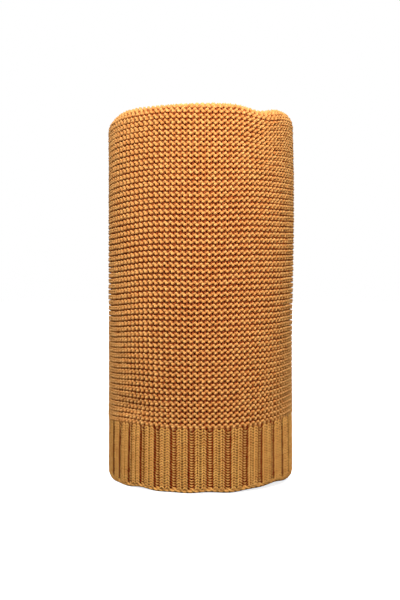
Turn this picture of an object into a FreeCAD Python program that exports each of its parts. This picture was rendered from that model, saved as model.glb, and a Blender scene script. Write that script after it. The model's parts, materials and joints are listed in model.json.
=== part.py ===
"""A knitted cot blanket, folded twice across its length and rolled up on its ribbed end.

The cloth is one knitted sheet, 770 mm wide and 1000 mm long, with a ribbed border at each end.
It is folded in half, so that the two ribbed ends lie together, and in half again, so that both
ribbed ends stay at the bottom. That makes a strip of four layers, about 250 mm high. The strip
is rolled up from one side edge. Named from the outside of the strip to its inside, the layers
are the front layer, the second layer, the third layer and the back layer.

The roll stands on its end. Seen from above, its spiral is made of half turns. The left half
turns share one centre, the right half turns share another, and each half turn is wider than the
one before it by half the thickness of the strip. The end of the strip peels off the roll in two
lengths, the outer turn and the free end, each about an upright line on the cloth's outer face.

Frame: Z up, origin at the middle of the base, front towards -Y. Lengths are in millimetres.
"""

import FreeCAD
import Part
import Sketcher
import os
from math import pi

HALF_TURNS = 7  # the spiral's count of half turns, innermost first
LAST = HALF_TURNS - 1
UPRIGHT = FreeCAD.Vector(0, 1, 0)  # the axis of a sketch plane that points up in the model
ACROSS = FreeCAD.Vector(0, 0, 1)  # the normal of a sketch plane

SIZES = (
    ("height", 250.0),  # of the folded strip
    ("layer_pitch", 4.3),  # from the middle of one layer to the middle of the next
    ("layer_thickness", 4.0),  # of one layer of knitting
    ("core_radius", 0.4),  # of the hollow that the roll starts round
    ("rib_height", 44.0),  # from the bottom edge to the top of the ribbed border
    ("edge_height", 3.0),  # of the chain of stitches along each ribbed end
    ("free_end_angle", 37.0),  # of the last half turn, in degrees
    ("outer_turn_angle", 38.0),  # of the last half turn, in degrees
    ("hinge_gap", 0.35),  # between two lengths of the strip that move apart, in degrees
)

# Where a profile is first drawn, before the spreadsheet's sizes move it into place.
FIRST_X = 60
FIRST_Y = 50
FIRST_SIZE = 4


def make_sheet(doc):
    """The driving dimensions, one to a row: the name, and a cell with that alias."""
    sheet = doc.addObject("Spreadsheet::Sheet", "Sizes")
    for row, (name, value) in enumerate(SIZES, start=1):
        sheet.set(f"A{row}", name)
        sheet.set(f"B{row}", str(value))
        sheet.setAlias(f"B{row}", name)
    doc.recompute()


def upright_sketch(body, half_turn, angle):
    """A sketch in an upright plane through a half turn's centre.

    Its local X is the distance from that centre and its local Y is the height. The angle is an
    expression: 0 reaches towards the back, 90 towards the left and 180 towards the front.
    """
    sketch = body.newObject("Sketcher::SketchObject", f"{body.Name}_profile_{half_turn}")
    side_plane = next(f for f in body.Origin.OriginFeatures if f.Role == "YZ_Plane")
    sketch.AttachmentSupport = (side_plane, "")
    sketch.MapMode = "FlatFace"
    sketch.AttachmentOffset = FreeCAD.Placement(FreeCAD.Vector(), FreeCAD.Rotation(UPRIGHT, 90))
    sketch.setExpression("AttachmentOffset.Rotation.Angle", angle)
    sketch.setExpression("AttachmentOffset.Base.z", "Sizes.layer_pitch")
    if half_turn % 2:
        sketch.setExpression("AttachmentOffset.Base.x", "-2 * Sizes.layer_pitch")
    return sketch


def bind(sketch, constraint, expression):
    """Adds a size to a sketch and binds it to the spreadsheet."""
    index = sketch.addConstraint(constraint)
    sketch.setExpression(f"Constraints[{index}]", expression)


def radius_out(half_turn, layers_out):
    """The radius of a half turn, layers_out layers outside the middle of the strip."""
    return f"Sizes.core_radius + Sizes.layer_pitch * {2 * (half_turn + 1) + layers_out}"


def panel(layers_out, low, high):
    """The drawing of an upright panel, from the height low to the height high."""

    def draw(sketch, half_turn):
        near, far = FIRST_X, FIRST_X + FIRST_SIZE
        base, top = FIRST_Y, FIRST_Y + FIRST_SIZE
        corners = [
            FreeCAD.Vector(x, y, 0) for x, y in ((near, base), (far, base), (far, top), (near, top))
        ]
        for start, end in zip(corners, corners[1:] + corners[:1]):
            sketch.addGeometry(Part.LineSegment(start, end))
        for line in range(4):
            sketch.addConstraint(Sketcher.Constraint("Coincident", line, 2, (line + 1) % 4, 1))
            straight = "Vertical" if line % 2 else "Horizontal"
            sketch.addConstraint(Sketcher.Constraint(straight, line))
        inner = f"{radius_out(half_turn, layers_out)} - Sizes.layer_thickness / 2"
        thickness = Sketcher.Constraint("DistanceX", 0, 1, 0, 2, FIRST_SIZE)
        height = Sketcher.Constraint("DistanceY", 0, 2, 2, 1, FIRST_SIZE)
        bind(sketch, Sketcher.Constraint("DistanceX", -1, 1, 0, 1, FIRST_X), inner)
        bind(sketch, thickness, "Sizes.layer_thickness")
        bind(sketch, Sketcher.Constraint("DistanceY", -1, 1, 0, 1, FIRST_Y), low)
        bind(sketch, height, f"{high} - ({low})")

    return draw


def fold(layers_out, level, layers_wide, upward):
    """The drawing of a half ring that joins two panels, over their top or under their bottom.

    Its centre is at the height level, and the two panels are layers_wide layers apart.
    """

    def draw(sketch, half_turn):
        centre = FreeCAD.Vector(FIRST_X, FIRST_Y, 0)
        start = 0 if upward else pi
        for size in (2 * FIRST_SIZE, FIRST_SIZE):
            circle = Part.Circle(centre, ACROSS, size)
            sketch.addGeometry(Part.ArcOfCircle(circle, start, start + pi))
        for end in (1, 2):
            outer, inner = (sketch.getPoint(arc, end) for arc in (0, 1))
            line = sketch.addGeometry(Part.LineSegment(outer, inner))
            sketch.addConstraint(Sketcher.Constraint("Coincident", 0, end, line, 1))
            sketch.addConstraint(Sketcher.Constraint("Coincident", 1, end, line, 2))
            for arc in (0, 1):
                sketch.addConstraint(Sketcher.Constraint("Horizontal", arc, 3, arc, end))
        sketch.addConstraint(Sketcher.Constraint("Coincident", 0, 3, 1, 3))
        middle = radius_out(half_turn, layers_out)
        radius = f"{layers_wide / 2} * Sizes.layer_pitch"
        bind(sketch, Sketcher.Constraint("DistanceX", -1, 1, 0, 3, FIRST_X), middle)
        bind(sketch, Sketcher.Constraint("DistanceY", -1, 1, 0, 3, FIRST_Y), level)
        outer_size = Sketcher.Constraint("Radius", 0, 2 * FIRST_SIZE)
        inner_size = Sketcher.Constraint("Radius", 1, FIRST_SIZE)
        bind(sketch, outer_size, f"{radius} + Sizes.layer_thickness / 2")
        bind(sketch, inner_size, f"{radius} - Sizes.layer_thickness / 2")

    return draw


def strip_pieces():
    """The drawing of each piece of the folded strip, by name."""
    half = "Sizes.layer_thickness / 2"
    fold_top = f"Sizes.height - 1.5 * Sizes.layer_pitch - {half}"
    fold_base = f"0.5 * Sizes.layer_pitch + {half}"
    rib, edge = "Sizes.rib_height", "Sizes.edge_height"
    return {
        "front_garter_panel": panel(1.5, rib, fold_top),
        "front_rib_border": panel(1.5, edge, rib),
        "front_bound_edge": panel(1.5, "0", edge),
        "second_garter_panel": panel(0.5, rib, fold_top),
        "second_rib_border": panel(0.5, edge, rib),
        "second_cast_on_edge": panel(0.5, "0", edge),
        "third_garter_panel": panel(-0.5, fold_base, fold_top),
        "back_garter_panel": panel(-1.5, fold_base, fold_top),
        "outer_top_fold": fold(0, fold_top, 3, upward=True),
        "inner_top_fold": fold(0, fold_top, 1, upward=True),
        "bottom_fold": fold(-1, fold_base, 1, upward=False),
    }


def lengths():
    """The parts of the spiral that each moving length takes.

    By name prefix: a list of the half turn, and where its arc starts and how far it goes round.
    """
    free_end, outer_turn = "Sizes.free_end_angle", "Sizes.outer_turn_angle"
    outer_start = f"{free_end} + Sizes.hinge_gap"
    roll_start = f"{outer_start} + {outer_turn} + Sizes.hinge_gap"
    whole = [(turn, "180" if turn % 2 else "0", "180") for turn in range(LAST)]
    return {
        "": whole + [(LAST, roll_start, f"180 - ({roll_start})")],
        "outer_turn_": [(LAST, outer_start, outer_turn)],
        "free_end_": [(LAST, "0", free_end)],
    }


def wind(doc, label, draw, arcs):
    """A body that is one piece of the strip, wound along some arcs of the spiral."""
    body = doc.addObject("PartDesign::Body", label)
    body.Label = label
    for half_turn, start, sweep in arcs:
        sketch = upright_sketch(body, half_turn, start)
        draw(sketch, half_turn)
        turned = body.newObject("PartDesign::Revolution", f"{sketch.Name}_turned")
        turned.Profile = sketch
        turned.ReferenceAxis = (sketch, ["V_Axis"])
        turned.Refine = False
        turned.setExpression("Angle", sweep)
        sketch.Visibility = False
    return body


def check(doc, pieces):
    """Stops if any object failed or any piece has no valid shape."""
    for thing in doc.Objects:
        if {"Invalid", "Error"} & set(thing.State):
            raise RuntimeError(f"{thing.Name} failed: {thing.State}")
    for piece in pieces:
        if piece.Shape.isNull() or not piece.Shape.isValid() or not piece.Shape.Solids:
            raise RuntimeError(f"{piece.Label} has no valid solid")


def main():
    doc = FreeCAD.newDocument("rolled_blanket")
    make_sheet(doc)
    pieces = []
    for prefix, arcs in lengths().items():
        for name, draw in strip_pieces().items():
            pieces.append(wind(doc, prefix + name, draw, arcs))
    doc.recompute()
    check(doc, pieces)
    os.makedirs("parts", exist_ok=True)
    for piece in pieces:
        piece.Shape.exportStep(f"parts/{piece.Label}.step")
        box = piece.Shape.BoundBox
        print(
            f"{piece.Label}: {len(piece.Shape.Solids)} solids, {piece.Shape.Volume:.0f} mm3,"
            f" x {box.XMin:.2f} to {box.XMax:.2f}, y {box.YMin:.2f} to {box.YMax:.2f},"
            f" z {box.ZMin:.2f} to {box.ZMax:.2f}"
        )


main()
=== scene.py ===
"""The looks of a rolled knitted blanket: every stitch that can be seen is a real loop of yarn."""

import bpy
import json
import math
import mathutils
import numpy as np
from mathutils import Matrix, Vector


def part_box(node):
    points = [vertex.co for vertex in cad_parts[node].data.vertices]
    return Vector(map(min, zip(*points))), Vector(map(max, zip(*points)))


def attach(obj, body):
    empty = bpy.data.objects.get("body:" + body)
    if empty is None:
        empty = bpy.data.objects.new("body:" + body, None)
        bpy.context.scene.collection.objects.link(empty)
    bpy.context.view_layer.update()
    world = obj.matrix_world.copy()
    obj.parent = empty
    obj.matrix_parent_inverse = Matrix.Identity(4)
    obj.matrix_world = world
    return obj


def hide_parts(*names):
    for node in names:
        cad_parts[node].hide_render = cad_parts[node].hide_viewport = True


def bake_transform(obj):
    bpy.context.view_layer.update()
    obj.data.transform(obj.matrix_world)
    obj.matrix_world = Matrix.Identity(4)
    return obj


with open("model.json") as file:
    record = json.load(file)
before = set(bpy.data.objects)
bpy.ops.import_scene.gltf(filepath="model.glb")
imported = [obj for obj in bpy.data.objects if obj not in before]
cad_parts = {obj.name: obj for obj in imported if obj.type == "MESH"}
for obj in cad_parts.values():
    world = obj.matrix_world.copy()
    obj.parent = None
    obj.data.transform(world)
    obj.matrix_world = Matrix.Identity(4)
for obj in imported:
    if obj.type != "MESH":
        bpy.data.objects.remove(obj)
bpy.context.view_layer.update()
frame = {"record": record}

MM = 0.001
rng = np.random.default_rng(639)

# ---------------------------------------------------------------- the cloth's shape, in mm
END_HIGH = np.array(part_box("free_end_front_garter_panel")[1]) / MM
ROLL_LOW, ROLL_HIGH = (np.array(c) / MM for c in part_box("front_garter_panel"))
PITCH = float(END_HIGH[0])  # from the middle of one layer to the middle of the next
OUTER = float(END_HIGH[1])  # radius of the last half turn's outer face
THICK = 4.0  # of a layer's CAD solid
FOLD_Z = float(ROLL_HIGH[2])  # where the panels end and the top folds begin
RIB_TOP = float(ROLL_LOW[2])
HALF_TURNS = 7
CORE = OUTER - THICK / 2 - PITCH * (2 * HALF_TURNS + 1.5)
R_TOP = 1.5 * PITCH  # of the outer top fold
R_IN = 0.5 * PITCH  # of the inner top fold and the bottom fold
BASE_Z = R_IN + THICK / 2  # where the bottom fold begins

# wales (columns of stitches) in each half turn, innermost first
WALES = np.array([12, 18, 27, 33, 39, 48, 54])
FIRST = np.concatenate([[0], np.cumsum(WALES)])
LAST_Q = int(FIRST[-1])

# lengths along the folded profile, from the bound edge at the front layer's foot
V_TOP = FOLD_Z
V_BACK = V_TOP + math.pi * R_TOP
V_BASE = V_BACK + FOLD_Z - BASE_Z
V_THIRD = V_BASE + math.pi * R_IN
V_INNER = V_THIRD + FOLD_Z - BASE_Z
V_SECOND = V_INNER + math.pi * R_IN
V_END = V_SECOND + FOLD_Z


def profile(v):
    """Where a length along the folded profile lies: how far out, how high, and its outward normal."""
    v = np.asarray(v, float)
    n, z, a, b = (np.zeros_like(v) for _ in range(4))

    def put(where, values):
        for out, value in zip((n, z, a, b), values):
            out[where] = (value + 0 * v)[where]

    put(v < V_TOP, (1.5 * PITCH, v, 1, 0))
    turn = (v - V_TOP) / R_TOP
    put(
        (v >= V_TOP) & (v < V_BACK),
        (R_TOP * np.cos(turn), FOLD_Z + R_TOP * np.sin(turn), np.cos(turn), np.sin(turn)),
    )
    put((v >= V_BACK) & (v < V_BASE), (-1.5 * PITCH, FOLD_Z - (v - V_BACK), -1, 0))
    turn = (v - V_BASE) / R_IN
    put(
        (v >= V_BASE) & (v < V_THIRD),
        (-PITCH - R_IN * np.cos(turn), BASE_Z - R_IN * np.sin(turn), -np.cos(turn), -np.sin(turn)),
    )
    put((v >= V_THIRD) & (v < V_INNER), (-0.5 * PITCH, BASE_Z + (v - V_THIRD), 1, 0))
    turn = (v - V_INNER) / R_IN
    put(
        (v >= V_INNER) & (v < V_SECOND),
        (-R_IN * np.cos(turn), FOLD_Z + R_IN * np.sin(turn), np.cos(turn), -np.sin(turn)),
    )
    put(v >= V_SECOND, (0.5 * PITCH, FOLD_Z - (v - V_SECOND), -1, 0))
    return n, z, a, b


def spiral(q):
    """Where a wale lies seen from above: its half turn's centre and radius, and its outward direction."""
    q = np.asarray(q, float)
    k = np.clip(np.searchsorted(FIRST, q, side="right") - 1, 0, HALF_TURNS - 1)
    phi = (q - FIRST[k]) * math.pi / WALES[k]
    side = np.where(k % 2 == 0, -1.0, 1.0)
    rho = CORE + 2 * PITCH * (k + 1)
    return np.where(k % 2 == 0, 0.0, -2 * PITCH), rho, side * np.sin(phi), side * np.cos(phi)


def smooth(x, low, high):
    t = np.clip((x - low) / (high - low), 0, 1)
    return t * t * (3 - 2 * t)


def near(x, middle, width):
    return np.exp(-(((x - middle) / width) ** 2))


# height in mm, turn in one wale, turn in one mm up the cloth, and where it starts
RIPPLES = [(0.5, 0.17, 0.0, 1.0), (0.35, 0.39, 0.012, 2.0)]
WAVE_SETS_IN = (2, 30)  # the height over which the rows begin to wander
WRINKLE = -1.3  # how far the rows dip at the wrinkle low on the left
WRINKLE_WALE, WRINKLE_WIDE = 189, 5
WRINKLE_AT, WRINKLE_TALL = 57, 9
DROOP, DROOP_MORE = 1.1, 1.3  # how far the rib's top hangs at the right, and how much further at the left
DROOP_WALES = (153, 177)  # from the right edge to the middle of the front
DROOP_TALL = 26


def row_wave(q, v):
    """How far the rows wander up and down along the cloth."""
    wave = sum(high * np.sin(q * turn + v * climb + start) for high, turn, climb, start in RIPPLES)
    wrinkle = WRINKLE * near(q, WRINKLE_WALE, WRINKLE_WIDE) * near(v, WRINKLE_AT, WRINKLE_TALL)
    droop = -(DROOP + DROOP_MORE * smooth(q, *DROOP_WALES)) * near(v, RIB_TOP, DROOP_TALL)
    return smooth(v, *WAVE_SETS_IN) * wave + wrinkle + droop


# ranges of height in mm, and for the last three the distance out, to the right and to the left
BODY_BEGINS, BODY_ENDS = (0, 60), (225, 250)
DOME_RISES, NOTCH_OPENS, HEM_ENDS = (150, 250), (195, 250), (0, 25)
SAG_BEGINS, SAG_ENDS = (60, 120), (200, 240)
OUT_OF_CORE, TO_RIGHT, TO_LEFT = (10, 60), (5, 60), (15, 60)
# depth in mm, number round the roll, twist in one mm of height, and where it starts
LUMPS = [(0.5, 3, 0.02, 0.0), (0.35, 5, -0.035, 1.3)]
# depth, angle and its spread, height and its spread: a flat place low on the left, and a crease across it
DENTS = [(-1.5, -0.85, 0.3, 58, 24), (-1.3, -0.75, 0.25, 53, 5)]
DOME_FRONT = 1.5  # how far the top stands higher at the front than at the sides
DOME_LEFT, DOME_LEFT_AT, DOME_LEFT_WIDE = 1.7, -0.95, 0.35
NOTCH, NOTCH_AT, NOTCH_WIDE = -3.9, 0.67, 0.22
LIFT, SAG = 2.5, -1.4  # at the right and at the left
HEM_LIFT = 0.7
HEM_WAVES = [(0.4, 9, 1), (0.3, 17, 0)]  # height, number round the roll, and where it starts


def settle(x, y, z):
    """The roll's slumps and lumps, as one smooth bend of the space it stands in."""
    angle = np.arctan2(x, -y)  # 0 at the front, positive to the right
    out = np.hypot(x, y)
    body = smooth(z, *BODY_BEGINS) * (1 - smooth(z, *BODY_ENDS))
    lump = body * sum(deep * np.sin(count * angle + twist * z + start) for deep, count, twist, start in LUMPS)
    dent = sum(deep * near(angle, at, wide) * near(z, high, tall) for deep, at, wide, high, tall in DENTS)
    scale = 1 + (lump + dent) * out / OUTER / np.maximum(out, 1.0)
    dome = DOME_FRONT * np.cos(angle) + DOME_LEFT * near(angle, DOME_LEFT_AT, DOME_LEFT_WIDE)
    notch = NOTCH * smooth(z, *NOTCH_OPENS) * near(angle, NOTCH_AT, NOTCH_WIDE)
    sag = SAG * smooth(-x, *TO_LEFT) * smooth(z, *SAG_BEGINS) * (1 - smooth(z, *SAG_ENDS))
    uneven = sum(high * np.sin(count * angle + start) for high, count, start in HEM_WAVES)
    hem = (1 - smooth(z, *HEM_ENDS)) * (HEM_LIFT + uneven)
    rise = smooth(z, *DOME_RISES) * dome + notch + sag + hem
    return x * scale, y * scale, z + smooth(out, *OUT_OF_CORE) * rise + LIFT * smooth(x, *TO_RIGHT)


def place(q, v, depth, low=0.05):
    """A point of the cloth in the row frame, depth out from the layer's middle and no lower than low."""
    cy, rho, dx, dy = spiral(q)
    n, z, a, b = profile(v + row_wave(q, v))
    r = rho + n + a * depth
    x, y, z = settle(PITCH + r * dx, cy + r * dy, z + b * depth)
    return np.stack([x, y, np.maximum(z, low)], -1)


# ---------------------------------------------------------------- the knitting
RIB_ROWS = 23
RIB_FOOT = 2.3  # where the rib's first row begins, above the chain
RIB_ROW = (RIB_TOP - RIB_FOOT) / RIB_ROWS
GARTER_ROWS = 502
ROW = (V_END - 2 * RIB_TOP) / GARTER_ROWS
FRONT_ROWS = 114  # of the garter rows, those of the front layer
SQUEEZE = 1.6  # how far the rows are pushed towards the front layer's two ends
LAST_RIB = RIB_ROWS + GARTER_ROWS  # the first row of the second layer's rib
ROWS = LAST_RIB + RIB_ROWS
PURL_WALE = 2  # of each three wales of the rib
CREASE_WALE = 197  # the purl wale that has folded inwards, low on the left
GARTER_HIGH, RIB_HIGH = 1.62, 1.5  # half of a loop's height
GARTER_WIDE, RIB_WIDE = 0.13, 0.3  # how far a loop's sides lean out, in wales
GARTER_DEEP = 1.5  # how far a loop's head and feet lie from the middle of the cloth, in garter stitch
RIB_DEEP = 0.95  # the same in the rib
RIB_YARN = 0.42  # radius of the rib's yarn, which is pulled thinner
LEAN = -0.15  # how far a bump slides along its row, in wales
SLANT = -0.6  # how far a purl bump of the rib leans
DIP, DIP_WIDE = 0.6, 0.8  # how far its middle hangs, and over how much of the loop, in radians
YARN = 0.77  # radius that the crossings and the edges are laid out for
PULLED = 0.9  # the share of it that is left where the garter yarn passes from one face to the other
PLUMP = 0.35  # how much thicker it swells where it lies free on a face of the garter stitch
RIB_PLUMP, PURL_PLUMP = 0.07, 0.1  # the same on the rib's knit and purl wales
RIB_OUT = 0.7  # the front rib lies this far out, flush with the garter stitch
PURL_SUNK, PURL_WIDE = 0.9, 0.6  # how far back a purl wale lies between its neighbours
CREASE_SUNK, CREASE_WIDE = 0.8, 0.5
FADE_ROWS = 3  # the purl wales come forward again over the last rows of the rib
PURL_SHADE_EASE = 0.12  # how much less a purl wale thins and takes painted shade towards its sides
GARTER_SWELL_AND_SHADE, RIB_SWELL_AND_SHADE = (-0.2, 1.4), (0.2, 1.3)  # the stand-out at which the yarn is thinnest and wholly in painted shade, and at which it is plumpest and free of it
WANDER_ALONG, WANDER_UP, WANDER_OUT = 0.025, 0.09, 0.10  # unevenness in wales, mm and mm
HEAD_TONE, FOOT_TONE = 0.6, 0.4  # how much a loop's tone follows its head's random draw, and its foot's
FREE_UNSHADED = 0.85  # of the yarn at the edges: how far it is kept out of the painted shade, where 1 is none of it
FREE_TONE = 0.5  # how much that yarn's tone varies
ASIDE = 0.5  # the distance at which a second point tells which way is out
CHAIN_TURNS = 0.5  # turns of the edge's two strands in one wale
CHAIN_MIDDLE = 1.5  # of the chain, above the cloth's edge
CHAIN_OFF = 0.7  # of each strand from the chain's middle
CHAIN_WIDE = 1.15  # how much further that is across the cloth's thickness
CHAIN_YARN = 0.78
CHAIN_POINTS, CHAIN_SIDES = 12, 8  # points in each wale, and sides of its yarn
TURN_OUT = 0.45  # how far the yarn goes past the last wale, in wales
TURN_STEPS, TURN_SIDES = 10, 7  # steps from one row to the next, and sides of its yarn

jitter = rng.normal(0, 1, (ROWS + 2, LAST_Q + 2, 2, 3))


def in_rib(i):
    return (i < RIB_ROWS) | (i >= LAST_RIB)


def faces_front(i, m):
    """+1 where the stitch is drawn through to the front, -1 where it is drawn to the back."""
    return np.where(in_rib(i), np.where(m % 3 == PURL_WALE, -1.0, 1.0), np.where(i % 2 == 0, 1.0, -1.0))


def row_at(i):
    """How far along the folded profile the middle of row i lies."""
    i = np.asarray(i, float)
    j = i - RIB_ROWS + 0.5
    squeeze = np.where(j < FRONT_ROWS, SQUEEZE * np.sin(2 * math.pi * j / FRONT_ROWS), 0)
    rows = np.where(i < RIB_ROWS, RIB_FOOT + RIB_ROW * (i + 0.5), RIB_TOP + ROW * j - squeeze)
    return np.where(i < LAST_RIB, rows, V_END - RIB_FOOT - RIB_ROW * (ROWS - i - 0.5))


def row_of(v):
    """The garter row at a length along the folded profile."""
    return RIB_ROWS + int((v - RIB_TOP) / ROW)


def loop(i, tau):
    """The yarn of row i at a distance tau along it, in wales.

    Gives its wale, its place along the profile, its depth and how far it stands out on either face, which
    sets its swelling and its painted shade."""
    m = np.clip(np.floor(tau).astype(int), 0, LAST_Q - 1)
    t = 2 * math.pi * (tau - m)
    own, below = faces_front(i, m), faces_front(i - 1, m)
    rib = in_rib(i) * 1.0
    high = np.where(in_rib(i), RIB_DEEP, GARTER_DEEP)
    high_below = np.where(in_rib(i - 1), RIB_DEEP, GARTER_DEEP)
    # depths at the foot, at one and two thirds of the way up, and at the head, joined by a smooth curve
    f0, f3 = -own * high, -below * high_below
    f1, f2 = own * (2 * YARN - high), below * (2 * YARN - high_below)
    a0 = (f0 / 2 + f1 + f2 + f3 / 2) / 3
    a1 = (f0 + f1 - f2 - f3) / 3
    a2 = (f0 - f1 - f2 + f3) / 3
    a3 = (f0 / 2 - f1 + f2 - f3 / 2) / 3
    depth = a0 + a1 * np.cos(t) + a2 * np.cos(2 * t) + a3 * np.cos(3 * t)
    left = -0.5 * high * (own + faces_front(i, m - 1)) - f0
    right = -0.5 * high * (own + faces_front(i, m + 1)) - f0
    near_left = np.where(t < math.pi / 3, 0.5 + 0.5 * np.cos(3 * t), 0)
    near_right = np.where(t > 5 * math.pi / 3, 0.5 + 0.5 * np.cos(3 * t), 0)
    depth = depth + left * near_left + right * near_right
    head = 0.5 - 0.5 * np.cos(t)
    foot = np.where(t < math.pi, m, m + 1)
    row = i + 0 * m
    wobble = head[..., None] * jitter[row, m, 0] + (1 - head[..., None]) * jitter[row, foot, 1]
    across = (tau % 3) - (PURL_WALE + 0.5)
    crease = near(tau, CREASE_WALE + 0.5, CREASE_WIDE) * (i < RIB_ROWS)
    ends = smooth(RIB_ROWS - i, 0, FADE_ROWS) + smooth(i - LAST_RIB, 0, FADE_ROWS)
    purl = rib * ends * near(across, 0, PURL_WIDE)
    sunk = RIB_OUT * (i < RIB_ROWS) - PURL_SUNK * purl - CREASE_SUNK * crease
    slant = (SLANT * np.sin(t) - DIP * near(t, math.pi, DIP_WIDE)) * rib * (own < 0)
    wide = GARTER_WIDE + (RIB_WIDE - GARTER_WIDE) * rib
    tall = GARTER_HIGH + (RIB_HIGH - GARTER_HIGH) * rib
    lean = LEAN / GARTER_DEEP * depth * np.cos(t) * (1 - rib)
    q = tau + wide * np.sin(2 * t) + lean + WANDER_ALONG * wobble[..., 0]
    v = row_at(i) + tall * np.cos(t) + slant + WANDER_UP * wobble[..., 1]
    # how far the yarn stands out, which sets its swelling and its painted shade; purl wales get a little
    # extra, so less shade
    stands = np.abs(depth) / high * GARTER_DEEP + PURL_SHADE_EASE * rib * (own < 0)
    return q, v, depth + sunk + WANDER_OUT * wobble[..., 2], stands


def tubes(path, side_way, radius, sides):
    """Tubes along several paths of points, each given with one extra point at either end."""
    count, length = path.shape[0], path.shape[1] - 2
    tangent = path[:, 2:] - path[:, :-2]
    tangent /= np.linalg.norm(tangent, axis=-1, keepdims=True)
    across = np.cross(tangent, side_way)
    across /= np.linalg.norm(across, axis=-1, keepdims=True)
    up = np.cross(across, tangent)
    angle = np.arange(sides) * 2 * math.pi / sides
    ring = up[:, :, None] * np.cos(angle)[:, None] + across[:, :, None] * np.sin(angle)[:, None]
    points = path[:, 1:-1, None] + ring * radius[:, :, None, None]
    step = np.linalg.norm(np.diff(path[:, 1:-1], axis=1), axis=-1)
    along = np.concatenate([np.zeros((count, 1)), np.cumsum(step, axis=1)], axis=1)
    start = np.arange(count)[:, None, None] * length * sides
    here = np.arange(length - 1)[None, :, None] * sides
    around = np.arange(sides)[None, None, :]
    following = (around + 1) % sides
    quads = np.stack(
        [start + here + around, start + here + following, start + here + sides + following,
         start + here + sides + around], -1,
    ).reshape(-1, 4)
    u = np.broadcast_to(along[:, :, None], (count, length, sides))
    low, high = u[:, :-1], u[:, 1:]
    turn = np.broadcast_to(np.arange(sides) / sides, low.shape)
    further = turn + 1 / sides
    uv = np.stack(
        [np.stack([low, turn], -1), np.stack([low, further], -1), np.stack([high, further], -1),
         np.stack([high, turn], -1)], -2,
    ).reshape(-1, 2)
    return points.reshape(-1, 3), quads, uv


def make_mesh(name, points, quads, uv=None, tone=None, relief=None):
    mesh = bpy.data.meshes.new(name)
    mesh.vertices.add(len(points))
    mesh.vertices.foreach_set("co", (points * MM).astype(np.float32).ravel())
    mesh.loops.add(quads.size)
    mesh.loops.foreach_set("vertex_index", quads.astype(np.int32).ravel())
    mesh.polygons.add(len(quads))
    mesh.polygons.foreach_set("loop_start", np.arange(0, quads.size, 4, dtype=np.int32))
    mesh.polygons.foreach_set("loop_total", np.full(len(quads), 4, dtype=np.int32))
    mesh.polygons.foreach_set("use_smooth", np.ones(len(quads), dtype=bool))
    if uv is not None:
        mesh.uv_layers.new(name="yarn").data.foreach_set("uv", uv.astype(np.float32).ravel())
    if tone is not None:
        mesh.attributes.new("tone", "FLOAT", "POINT").data.foreach_set("value", tone.astype(np.float32))
    if relief is not None:
        mesh.attributes.new("relief", "FLOAT", "POINT").data.foreach_set("value", relief.astype(np.float32))
    mesh.update(calc_edges=True)
    piece = bpy.data.objects.new(name, mesh)
    bpy.context.scene.collection.objects.link(piece)
    return piece


def knit(name, rows, q0, q1, seg, sides):
    """A piece of knitting: some rows of loops, from one wale to another, with seg points in each loop."""
    tau = q0 + (np.arange(-1, int(round((q1 - q0) * seg)) + 2)) / seg
    i = np.asarray(rows)[:, None]
    q, v, depth, stands = loop(i, np.broadcast_to(tau, (len(rows), len(tau))))
    path = place(q, v, depth, YARN)
    out = place(q, v, depth + ASIDE, YARN) - path
    out[np.linalg.norm(out, axis=-1) < 0.01] = (0, 0, -1)
    stands = stands[:, 1:-1]
    # from 0 where the yarn lies deep to 1 where it stands out: it swells the yarn, and low values paint shade
    # onto it
    relief = np.where(in_rib(i), smooth(stands, *RIB_SWELL_AND_SHADE), smooth(stands, *GARTER_SWELL_AND_SHADE))
    m = np.clip(np.floor(tau[1:-1]).astype(int), 0, LAST_Q - 1)
    swell = np.where(in_rib(i), np.where(faces_front(i, m) < 0, PURL_PLUMP, RIB_PLUMP), PLUMP)
    radius = np.where(in_rib(i), RIB_YARN, PULLED * YARN) + swell * relief
    points, quads, uv = tubes(path, out[:, 1:-1], radius, sides)
    shade = HEAD_TONE * jitter[i, m, 0, 0] + FOOT_TONE * jitter[i, m, 1, 1]
    shade = np.repeat(shade[..., None], sides, -1)
    relief = np.repeat(relief[..., None], sides, -1).ravel()
    return make_mesh(name, points, quads, uv, shade.ravel(), relief)


def finish_tubes(name, path, out, radius, sides):
    """Yarn that isn't in rows, all of it lying free."""
    radii = np.full(path.shape[:2], radius)[:, 1:-1]
    points, quads, uv = tubes(path, out[:, 1:-1], radii, sides)
    shade = np.repeat(rng.normal(0, FREE_TONE, path.shape[0]), (path.shape[1] - 2) * sides)
    # the edges' yarn gets a little painted shade, the same all along
    return make_mesh(name, points, quads, uv, shade, np.full(len(points), FREE_UNSHADED))


def edge_chain(name, v_edge, q0, q1):
    """The chain along a bound-off or cast-on edge: two strands twisted round each other."""
    q = q0 + np.arange(-1, (q1 - q0) * CHAIN_POINTS + 2) / CHAIN_POINTS
    strand = np.arange(2)[:, None]
    turn = 2 * math.pi * CHAIN_TURNS * q + math.pi * strand
    q = np.broadcast_to(q, turn.shape)
    up = 1 if v_edge < V_END / 2 else -1
    v = v_edge + up * (CHAIN_MIDDLE + CHAIN_OFF * np.sin(turn))
    depth = CHAIN_WIDE * CHAIN_OFF * np.cos(turn)
    path = place(q, v, depth, YARN)
    return finish_tubes(name, path, place(q, v, depth + ASIDE, YARN) - path, CHAIN_YARN, CHAIN_SIDES)


def selvedge(name, q_edge):
    """Where the yarn turns back at the end of each pair of rows."""
    i = np.arange(0, ROWS - 1, 2)[:, None]
    s = np.arange(-1, TURN_STEPS + 2) / TURN_STEPS
    tau = np.full((1, 1), float(q_edge))
    _, v0, d0, _ = loop(i, tau)
    _, v1, d1, _ = loop(i + 1, tau)
    v = v0 + (v1 - v0) * s
    depth = d0 + (d1 - d0) * s
    q = q_edge + TURN_OUT * np.sin(math.pi * s) + 0 * v
    path = place(q, v, depth, YARN)
    return finish_tubes(name, path, place(q, v, depth + ASIDE, YARN) - path, YARN, TURN_SIDES)


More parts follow.
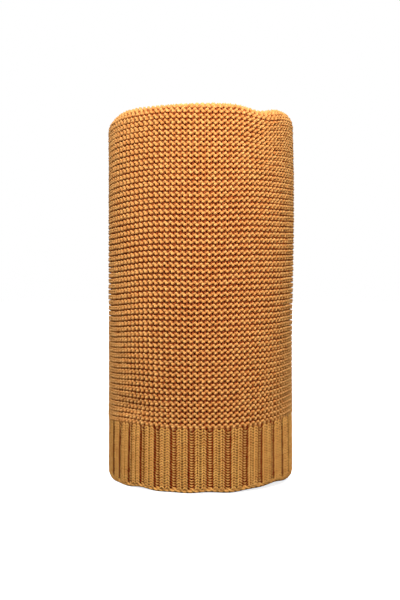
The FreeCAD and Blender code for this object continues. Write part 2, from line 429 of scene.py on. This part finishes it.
# ---------------------------------------------------------------- materials
ROUGH = 0.88
SPECULAR = 0.12
SHEEN, SHEEN_ROUGH, SHEEN_TINT = 0.1, 0.5, (1.0, 0.72, 0.4, 1)
MOTTLE_SCALE, MOTTLE_DETAIL = 900, 3
MOTTLE_GAIN, MOTTLE_SHIFT = 4.0, -2.0  # of the mottling noise, before a loop's own tone is added
TONE_REACH = 1.6  # the tones at which the yarn is at its darkest and its lightest
PLY_TURNS = 0.55  # turns of the plies in 1 mm
PLIES = 3
FUZZ_SCALE, FUZZ_DETAIL = 3500, 2
PLY_RELIEF = 0.6  # of the plies against the fuzz
BUMP_STRENGTH, BUMP_HEIGHT = 0.5, 0.0001


def srgb(*c):
    return tuple(((x / 255) / 12.92 if x / 255 <= 0.04045 else ((x / 255 + 0.055) / 1.055) ** 2.4) for x in c)


def attribute(tree, name):
    node = tree.nodes.new("ShaderNodeAttribute")
    node.attribute_name = name
    return node.outputs["Fac"]


def noise(tree, scale, detail):
    node = tree.nodes.new("ShaderNodeTexNoise")
    node.inputs["Scale"].default_value = scale
    node.inputs["Detail"].default_value = detail
    return node.outputs["Fac"]


def maths(tree, operation, *values):
    """A Math node, with a number or another node's output for each value."""
    node = tree.nodes.new("ShaderNodeMath")
    node.operation = operation
    for socket, value in zip(node.inputs, values):
        if isinstance(value, (int, float)):
            socket.default_value = value
        else:
            tree.links.new(value, socket)
    return node.outputs[0]


def mixed(tree, factor, first, second):
    """A mix of a fixed colour with a second one, which is fixed or another node's output."""
    node = tree.nodes.new("ShaderNodeMix")
    node.data_type = "RGBA"
    tree.links.new(factor, node.inputs[0])
    node.inputs[6].default_value = (*first, 1)
    if isinstance(second, tuple):
        node.inputs[7].default_value = (*second, 1)
    else:
        tree.links.new(second, node.inputs[7])
    return node.outputs[2]


def yarn_material(name, light, dark, deep):
    """Mottled yarn of three plies, with painted shade, a dark red-brown, where it lies deep as it passes from
    one face of the cloth to the other.
    """
    mat = bpy.data.materials.new(name)
    mat.use_nodes = True
    tree = mat.node_tree
    bsdf = tree.nodes["Principled BSDF"]
    bsdf.inputs["Base Color"].default_value = (*light, 1)
    bsdf.inputs["Roughness"].default_value = ROUGH
    bsdf.inputs["Specular IOR Level"].default_value = SPECULAR
    bsdf.inputs["Sheen Weight"].default_value = SHEEN
    bsdf.inputs["Sheen Roughness"].default_value = SHEEN_ROUGH
    bsdf.inputs["Sheen Tint"].default_value = SHEEN_TINT

    mottle = maths(tree, "MULTIPLY_ADD", noise(tree, MOTTLE_SCALE, MOTTLE_DETAIL), MOTTLE_GAIN, MOTTLE_SHIFT)
    tone = tree.nodes.new("ShaderNodeMapRange")
    tone.inputs["From Min"].default_value = -TONE_REACH
    tone.inputs["From Max"].default_value = TONE_REACH
    tree.links.new(maths(tree, "ADD", mottle, attribute(tree, "tone")), tone.inputs["Value"])
    colour = mixed(tree, tone.outputs[0], dark, light)
    # painted shade: the yarn's colour goes to the dark gap colour where it lies deep
    shaded = mixed(tree, attribute(tree, "relief"), deep, colour)
    tree.links.new(shaded, bsdf.inputs["Base Color"])

    uv = tree.nodes.new("ShaderNodeUVMap")
    uv.uv_map = "yarn"
    along = tree.nodes.new("ShaderNodeSeparateXYZ")
    tree.links.new(uv.outputs[0], along.inputs[0])
    turn = maths(tree, "MULTIPLY_ADD", along.outputs["X"], PLY_TURNS, along.outputs["Y"])
    plies = maths(tree, "SINE", maths(tree, "MULTIPLY", turn, PLIES * 2 * math.pi))
    fuzz = noise(tree, FUZZ_SCALE, FUZZ_DETAIL)
    bump = tree.nodes.new("ShaderNodeBump")
    bump.inputs["Strength"].default_value = BUMP_STRENGTH
    bump.inputs["Distance"].default_value = BUMP_HEIGHT
    tree.links.new(maths(tree, "MULTIPLY_ADD", plies, PLY_RELIEF, fuzz), bump.inputs["Height"])
    tree.links.new(bump.outputs[0], bsdf.inputs["Normal"])
    return mat


def plain_material(name, colour):
    mat = bpy.data.materials.new(name)
    mat.use_nodes = True
    bsdf = mat.node_tree.nodes["Principled BSDF"]
    bsdf.inputs["Base Color"].default_value = (*colour, 1)
    bsdf.inputs["Roughness"].default_value = ROUGH
    return mat


# painted shade: the dark red-brown given to the yarn where it lies deep between the loops
GAP_SHADE = srgb(140, 42, 0)
GARTER = yarn_material("garter_yarn", srgb(246, 186, 108), srgb(226, 154, 80), GAP_SHADE)
RIB = yarn_material("rib_yarn", srgb(253, 192, 103), srgb(235, 165, 84), GAP_SHADE)
# painted shade: the middle sheet's dark red-brown, seen through the gaps between the loops
SHADE_SHEET = yarn_material("ground_yarn", srgb(120, 34, 0), srgb(104, 28, 0), srgb(90, 22, 0))
GARTER_PLAIN = plain_material("garter_plain", srgb(224, 158, 74))
RIB_PLAIN = plain_material("rib_plain", srgb(214, 146, 68))
SHADE_SHEET_PLAIN = plain_material("ground_plain", srgb(100, 45, 14))

# ---------------------------------------------------------------- pieces
HINGES = {joint["name"]: np.array(joint["pos_m"]) / MM for joint in frame["record"]["behaviour"]["joints"]}
CENTRE = np.array([PITCH, 0.0])


def wale_of_hinge(name):
    """The wale of the outermost half turn at which a hinge stands."""
    x, y = HINGES[name][:2] - CENTRE
    return FIRST[-2] + WALES[-1] * (math.atan2(-x, -y) % (2 * math.pi)) / math.pi


# Each split lies a few wales before its hinge, so that the cut falls where the bend has not begun.
SPLIT_A = int(wale_of_hinge("outer_turn_peel") - 3)  # the roll's cloth ends here and the outer turn's begins
SPLIT_B = int(wale_of_hinge("free_end_peel") - 5)  # the outer turn's ends and the free end's begins
UNDER_FLAP = int(FIRST[4] + 20)  # the first wale of the roll that the peeled flap lays bare
SPANS = {"roll": (UNDER_FLAP, SPLIT_A), "outer_turn": (SPLIT_A, SPLIT_B), "free_end": (SPLIT_B, LAST_Q)}
WHOLE = {"roll": (0, SPLIT_A), "outer_turn": (SPLIT_A, SPLIT_B), "free_end": (SPLIT_B, LAST_Q)}
PREFIX = {"roll": "", "outer_turn": "outer_turn_", "free_end": "free_end_"}
OVER_TOP = row_of(V_BACK + 8)  # the rows of the front layer go on to here, behind the top fold
MOST_FACES = 165_000  # triangles in one piece
FINE, MIDDLING, COARSE = (10, 6), (8, 6), (8, 5)  # points in each loop, and sides of its yarn

pieces = []


def wear(piece, part, slot, rich, plain, nodes):
    """Gives a piece its yarn, hides the CAD nodes it stands for, and lists it under its body name; its
    finish, slot, is not used.

    The mesh keeps a plain colour, for a viewer that can't show the yarn's nodes."""
    piece.data.materials.append(plain)
    piece.material_slots[0].link = "OBJECT"
    piece.material_slots[0].material = rich
    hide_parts(*(PREFIX[part] + node for node in nodes))
    pieces.append((piece, part))
    return piece


def knit_bands(part, label, low, high, span, slot, rich, plain, nodes, detail):
    """Rows of knitting in as few pieces as their triangles allow."""
    seg, sides = detail
    q0, q1 = span
    each = (q1 - q0) * seg * sides * 2
    count = math.ceil((high - low) * each / MOST_FACES)
    ends = np.linspace(low, high, count + 1).round().astype(int)
    for index in range(count):
        name = f"{part}_{label}" + (f"_{index + 1}" if count > 1 else "")
        rows = np.arange(ends[index], ends[index + 1])
        wear(knit(name, rows, q0, q1, seg, sides), part, slot, rich, plain, nodes)


def ground(name, q0, q1):
    """The cloth's middle surface, in steps of half a wale, which closes the gaps between the loops."""
    q = np.arange(q0, q1 + 0.25, 0.5)
    q[-1] = q1
    straight = [np.arange(0, V_TOP, 6), np.arange(V_BACK, V_BASE, 8), np.arange(V_THIRD, V_INNER, 8),
                np.arange(V_SECOND, V_END, 8), [V_END - 0.3]]
    bends = [np.linspace(V_TOP, V_BACK, 14), np.linspace(V_BASE, V_THIRD, 8),
             np.linspace(V_INNER, V_SECOND, 8)]
    v = np.unique(np.concatenate(straight + bends))
    Q, V = np.meshgrid(q, v, indexing="ij")
    points = place(Q, V, 0 * V).reshape(-1, 3)
    a = np.arange(len(q) - 1)[:, None] * len(v) + np.arange(len(v) - 1)[None, :]
    quads = np.stack([a, a + len(v), a + len(v) + 1, a + 1], -1).reshape(-1, 4)
    return make_mesh(name, points, quads)


FRONT = ["front_garter_panel", "outer_top_fold"]
for part, span in SPANS.items():
    garter = ("garter_knit", GARTER, GARTER_PLAIN)
    rib = ("rib_knit", RIB, RIB_PLAIN)
    chain = ("edge_chain", RIB, RIB_PLAIN)
    knit_bands(part, "front_rib", 0, RIB_ROWS, span, *rib, ["front_rib_border"], FINE)
    knit_bands(part, "front_garter", RIB_ROWS, OVER_TOP, span, *garter, FRONT, FINE)
    foot = (row_of(V_BASE - 3), row_of(V_THIRD + 4))  # the rows round the bottom fold, and a little more
    knit_bands(part, "lower_fold", *foot, WHOLE[part], *garter, ["bottom_fold"], COARSE)
    wear(edge_chain(f"{part}_bound_edge", 0, *WHOLE[part]), part, *chain, ["front_bound_edge"])
    wear(edge_chain(f"{part}_cast_on_edge", V_END, *WHOLE[part]), part, *chain, ["second_cast_on_edge"])
    if part == "roll":
        top = (row_of(V_TOP - 3), row_of(V_BACK + 3))
        knit_bands(part, "inner_turns_top", *top, (0, UNDER_FLAP), *garter, ["outer_top_fold"], COARSE)
    else:
        behind = ["back_garter_panel"]
        knit_bands(part, "flap_inside", OVER_TOP, foot[0], span, *garter, behind, MIDDLING)
    if part == "free_end":
        inner = (LAST_Q - 2, LAST_Q)
        layers = ["third_garter_panel", "inner_top_fold", "second_garter_panel"]
        second = ["second_rib_border"]
        knit_bands(part, "end_of_inner_layers", foot[1], LAST_RIB, inner, *garter, layers, MIDDLING)
        knit_bands(part, "end_of_second_rib", LAST_RIB, ROWS, inner, *rib, second, MIDDLING)
        wear(selvedge("free_end_selvedge", LAST_Q), part, *garter, FRONT + ["back_garter_panel"] + layers)
    sheet = ground(f"{part}_ground", *WHOLE[part])
    nodes = [n.removeprefix(PREFIX[part]) for n in frame["record"]["behaviour"]["bodies"][part]]
    # the middle sheet is coloured with painted shade
    wear(sheet, part, "garter_knit", SHADE_SHEET, SHADE_SHEET_PLAIN, nodes)

# the roll's pieces hang from its body; the others have their places put into their meshes
for piece, part in pieces:
    if part == "roll":
        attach(piece, part)
        continue
    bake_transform(piece)

for part, (q0, q1) in WHOLE.items():
    sheet = bpy.data.objects[f"{part}_ground"]

# ---------------------------------------------------------------- the studio
FLOOR_HALF = 40
FLOOR_ROUGH = 0.9
FLOOR_ALBEDO, FLOOR_SEEN, FLOOR_GLOW = 0.1, 0.9, 0.85  # it bounces little light and looks white
WORLD_LIT, WORLD_SEEN = 0.18, 1.0
KEY_PLACE, KEY_AIM, KEY_SIDE, KEY_POWER = (0.01, -0.44, 0.46), (0, 0, 0.23), 0.3, 4.1
BACK_ANGLE, BACK_HIGH, BACK_SPREAD, BACK_POWER = 140, 40, 40, 1.8
EYE = (0, -0.643, 0.1242)
SENSOR, LENS = 24, 36


def plane(name, points, material):
    mesh = bpy.data.meshes.new(name)
    mesh.from_pydata(points, [], [(0, 1, 2, 3)])
    obj = bpy.data.objects.new(name, mesh)
    bpy.context.scene.collection.objects.link(obj)
    mesh.materials.append(material)
    return obj


def for_the_camera(tree, lit, seen):
    """A value that is one thing to the camera and another to the light that bounces."""
    path = tree.nodes.new("ShaderNodeLightPath")
    value = tree.nodes.new("ShaderNodeMapRange")
    value.inputs["To Min"].default_value = lit
    value.inputs["To Max"].default_value = seen
    tree.links.new(path.outputs["Is Camera Ray"], value.inputs["Value"])
    return value.outputs[0]


pale = bpy.data.materials.new("pale_floor")
pale.use_nodes = True
floor_tree = pale.node_tree
floor_shader = floor_tree.nodes["Principled BSDF"]
floor_shader.inputs["Roughness"].default_value = FLOOR_ROUGH
floor_shader.inputs["Emission Color"].default_value = (1, 1, 1, 1)
albedo = for_the_camera(floor_tree, FLOOR_ALBEDO, FLOOR_SEEN)
floor_tree.links.new(albedo, floor_shader.inputs["Base Color"])
glow = for_the_camera(floor_tree, 0.0, FLOOR_GLOW)
floor_tree.links.new(glow, floor_shader.inputs["Emission Strength"])
corners = [(-1, -1), (1, -1), (1, 1), (-1, 1)]
plane("floor", [(x * FLOOR_HALF, y * FLOOR_HALF, 0) for x, y in corners], pale)


def sun(name, azimuth, elevation, spread, strength):
    light = bpy.data.lights.new(name, "SUN")
    light.energy = strength
    light.angle = math.radians(spread)
    obj = bpy.data.objects.new(name, light)
    obj.rotation_euler = (math.radians(90 - elevation), 0, math.radians(azimuth))
    bpy.context.scene.collection.objects.link(obj)


def softbox(name, place_at, aim, side, power):
    light = bpy.data.lights.new(name, "AREA")
    light.energy = power
    light.size = side
    obj = bpy.data.objects.new(name, light)
    obj.location = place_at
    way = mathutils.Vector(aim) - mathutils.Vector(place_at)
    obj.rotation_euler = way.to_track_quat("-Z", "Y").to_euler()
    bpy.context.scene.collection.objects.link(obj)


softbox("key", KEY_PLACE, KEY_AIM, KEY_SIDE, KEY_POWER)
sun("back_left", -BACK_ANGLE, BACK_HIGH, BACK_SPREAD, BACK_POWER)
sun("back_right", BACK_ANGLE, BACK_HIGH, BACK_SPREAD, BACK_POWER)

bpy.context.scene.view_settings.view_transform = "Standard"
world = bpy.data.worlds.new("studio")
world.use_nodes = True
backdrop = world.node_tree.nodes["Background"]
backdrop.inputs["Color"].default_value = (1, 1, 1, 1)
strength = for_the_camera(world.node_tree, WORLD_LIT, WORLD_SEEN)
world.node_tree.links.new(strength, backdrop.inputs["Strength"])
bpy.context.scene.world = world

camera = bpy.data.cameras.new("camera")
camera.sensor_fit = "VERTICAL"
camera.sensor_height = SENSOR
camera.lens = LENS
viewer = bpy.data.objects.new("camera", camera)
viewer.location = EYE
viewer.rotation_euler = (math.pi / 2, 0, 0)
bpy.context.scene.collection.objects.link(viewer)
bpy.context.scene.camera = viewer
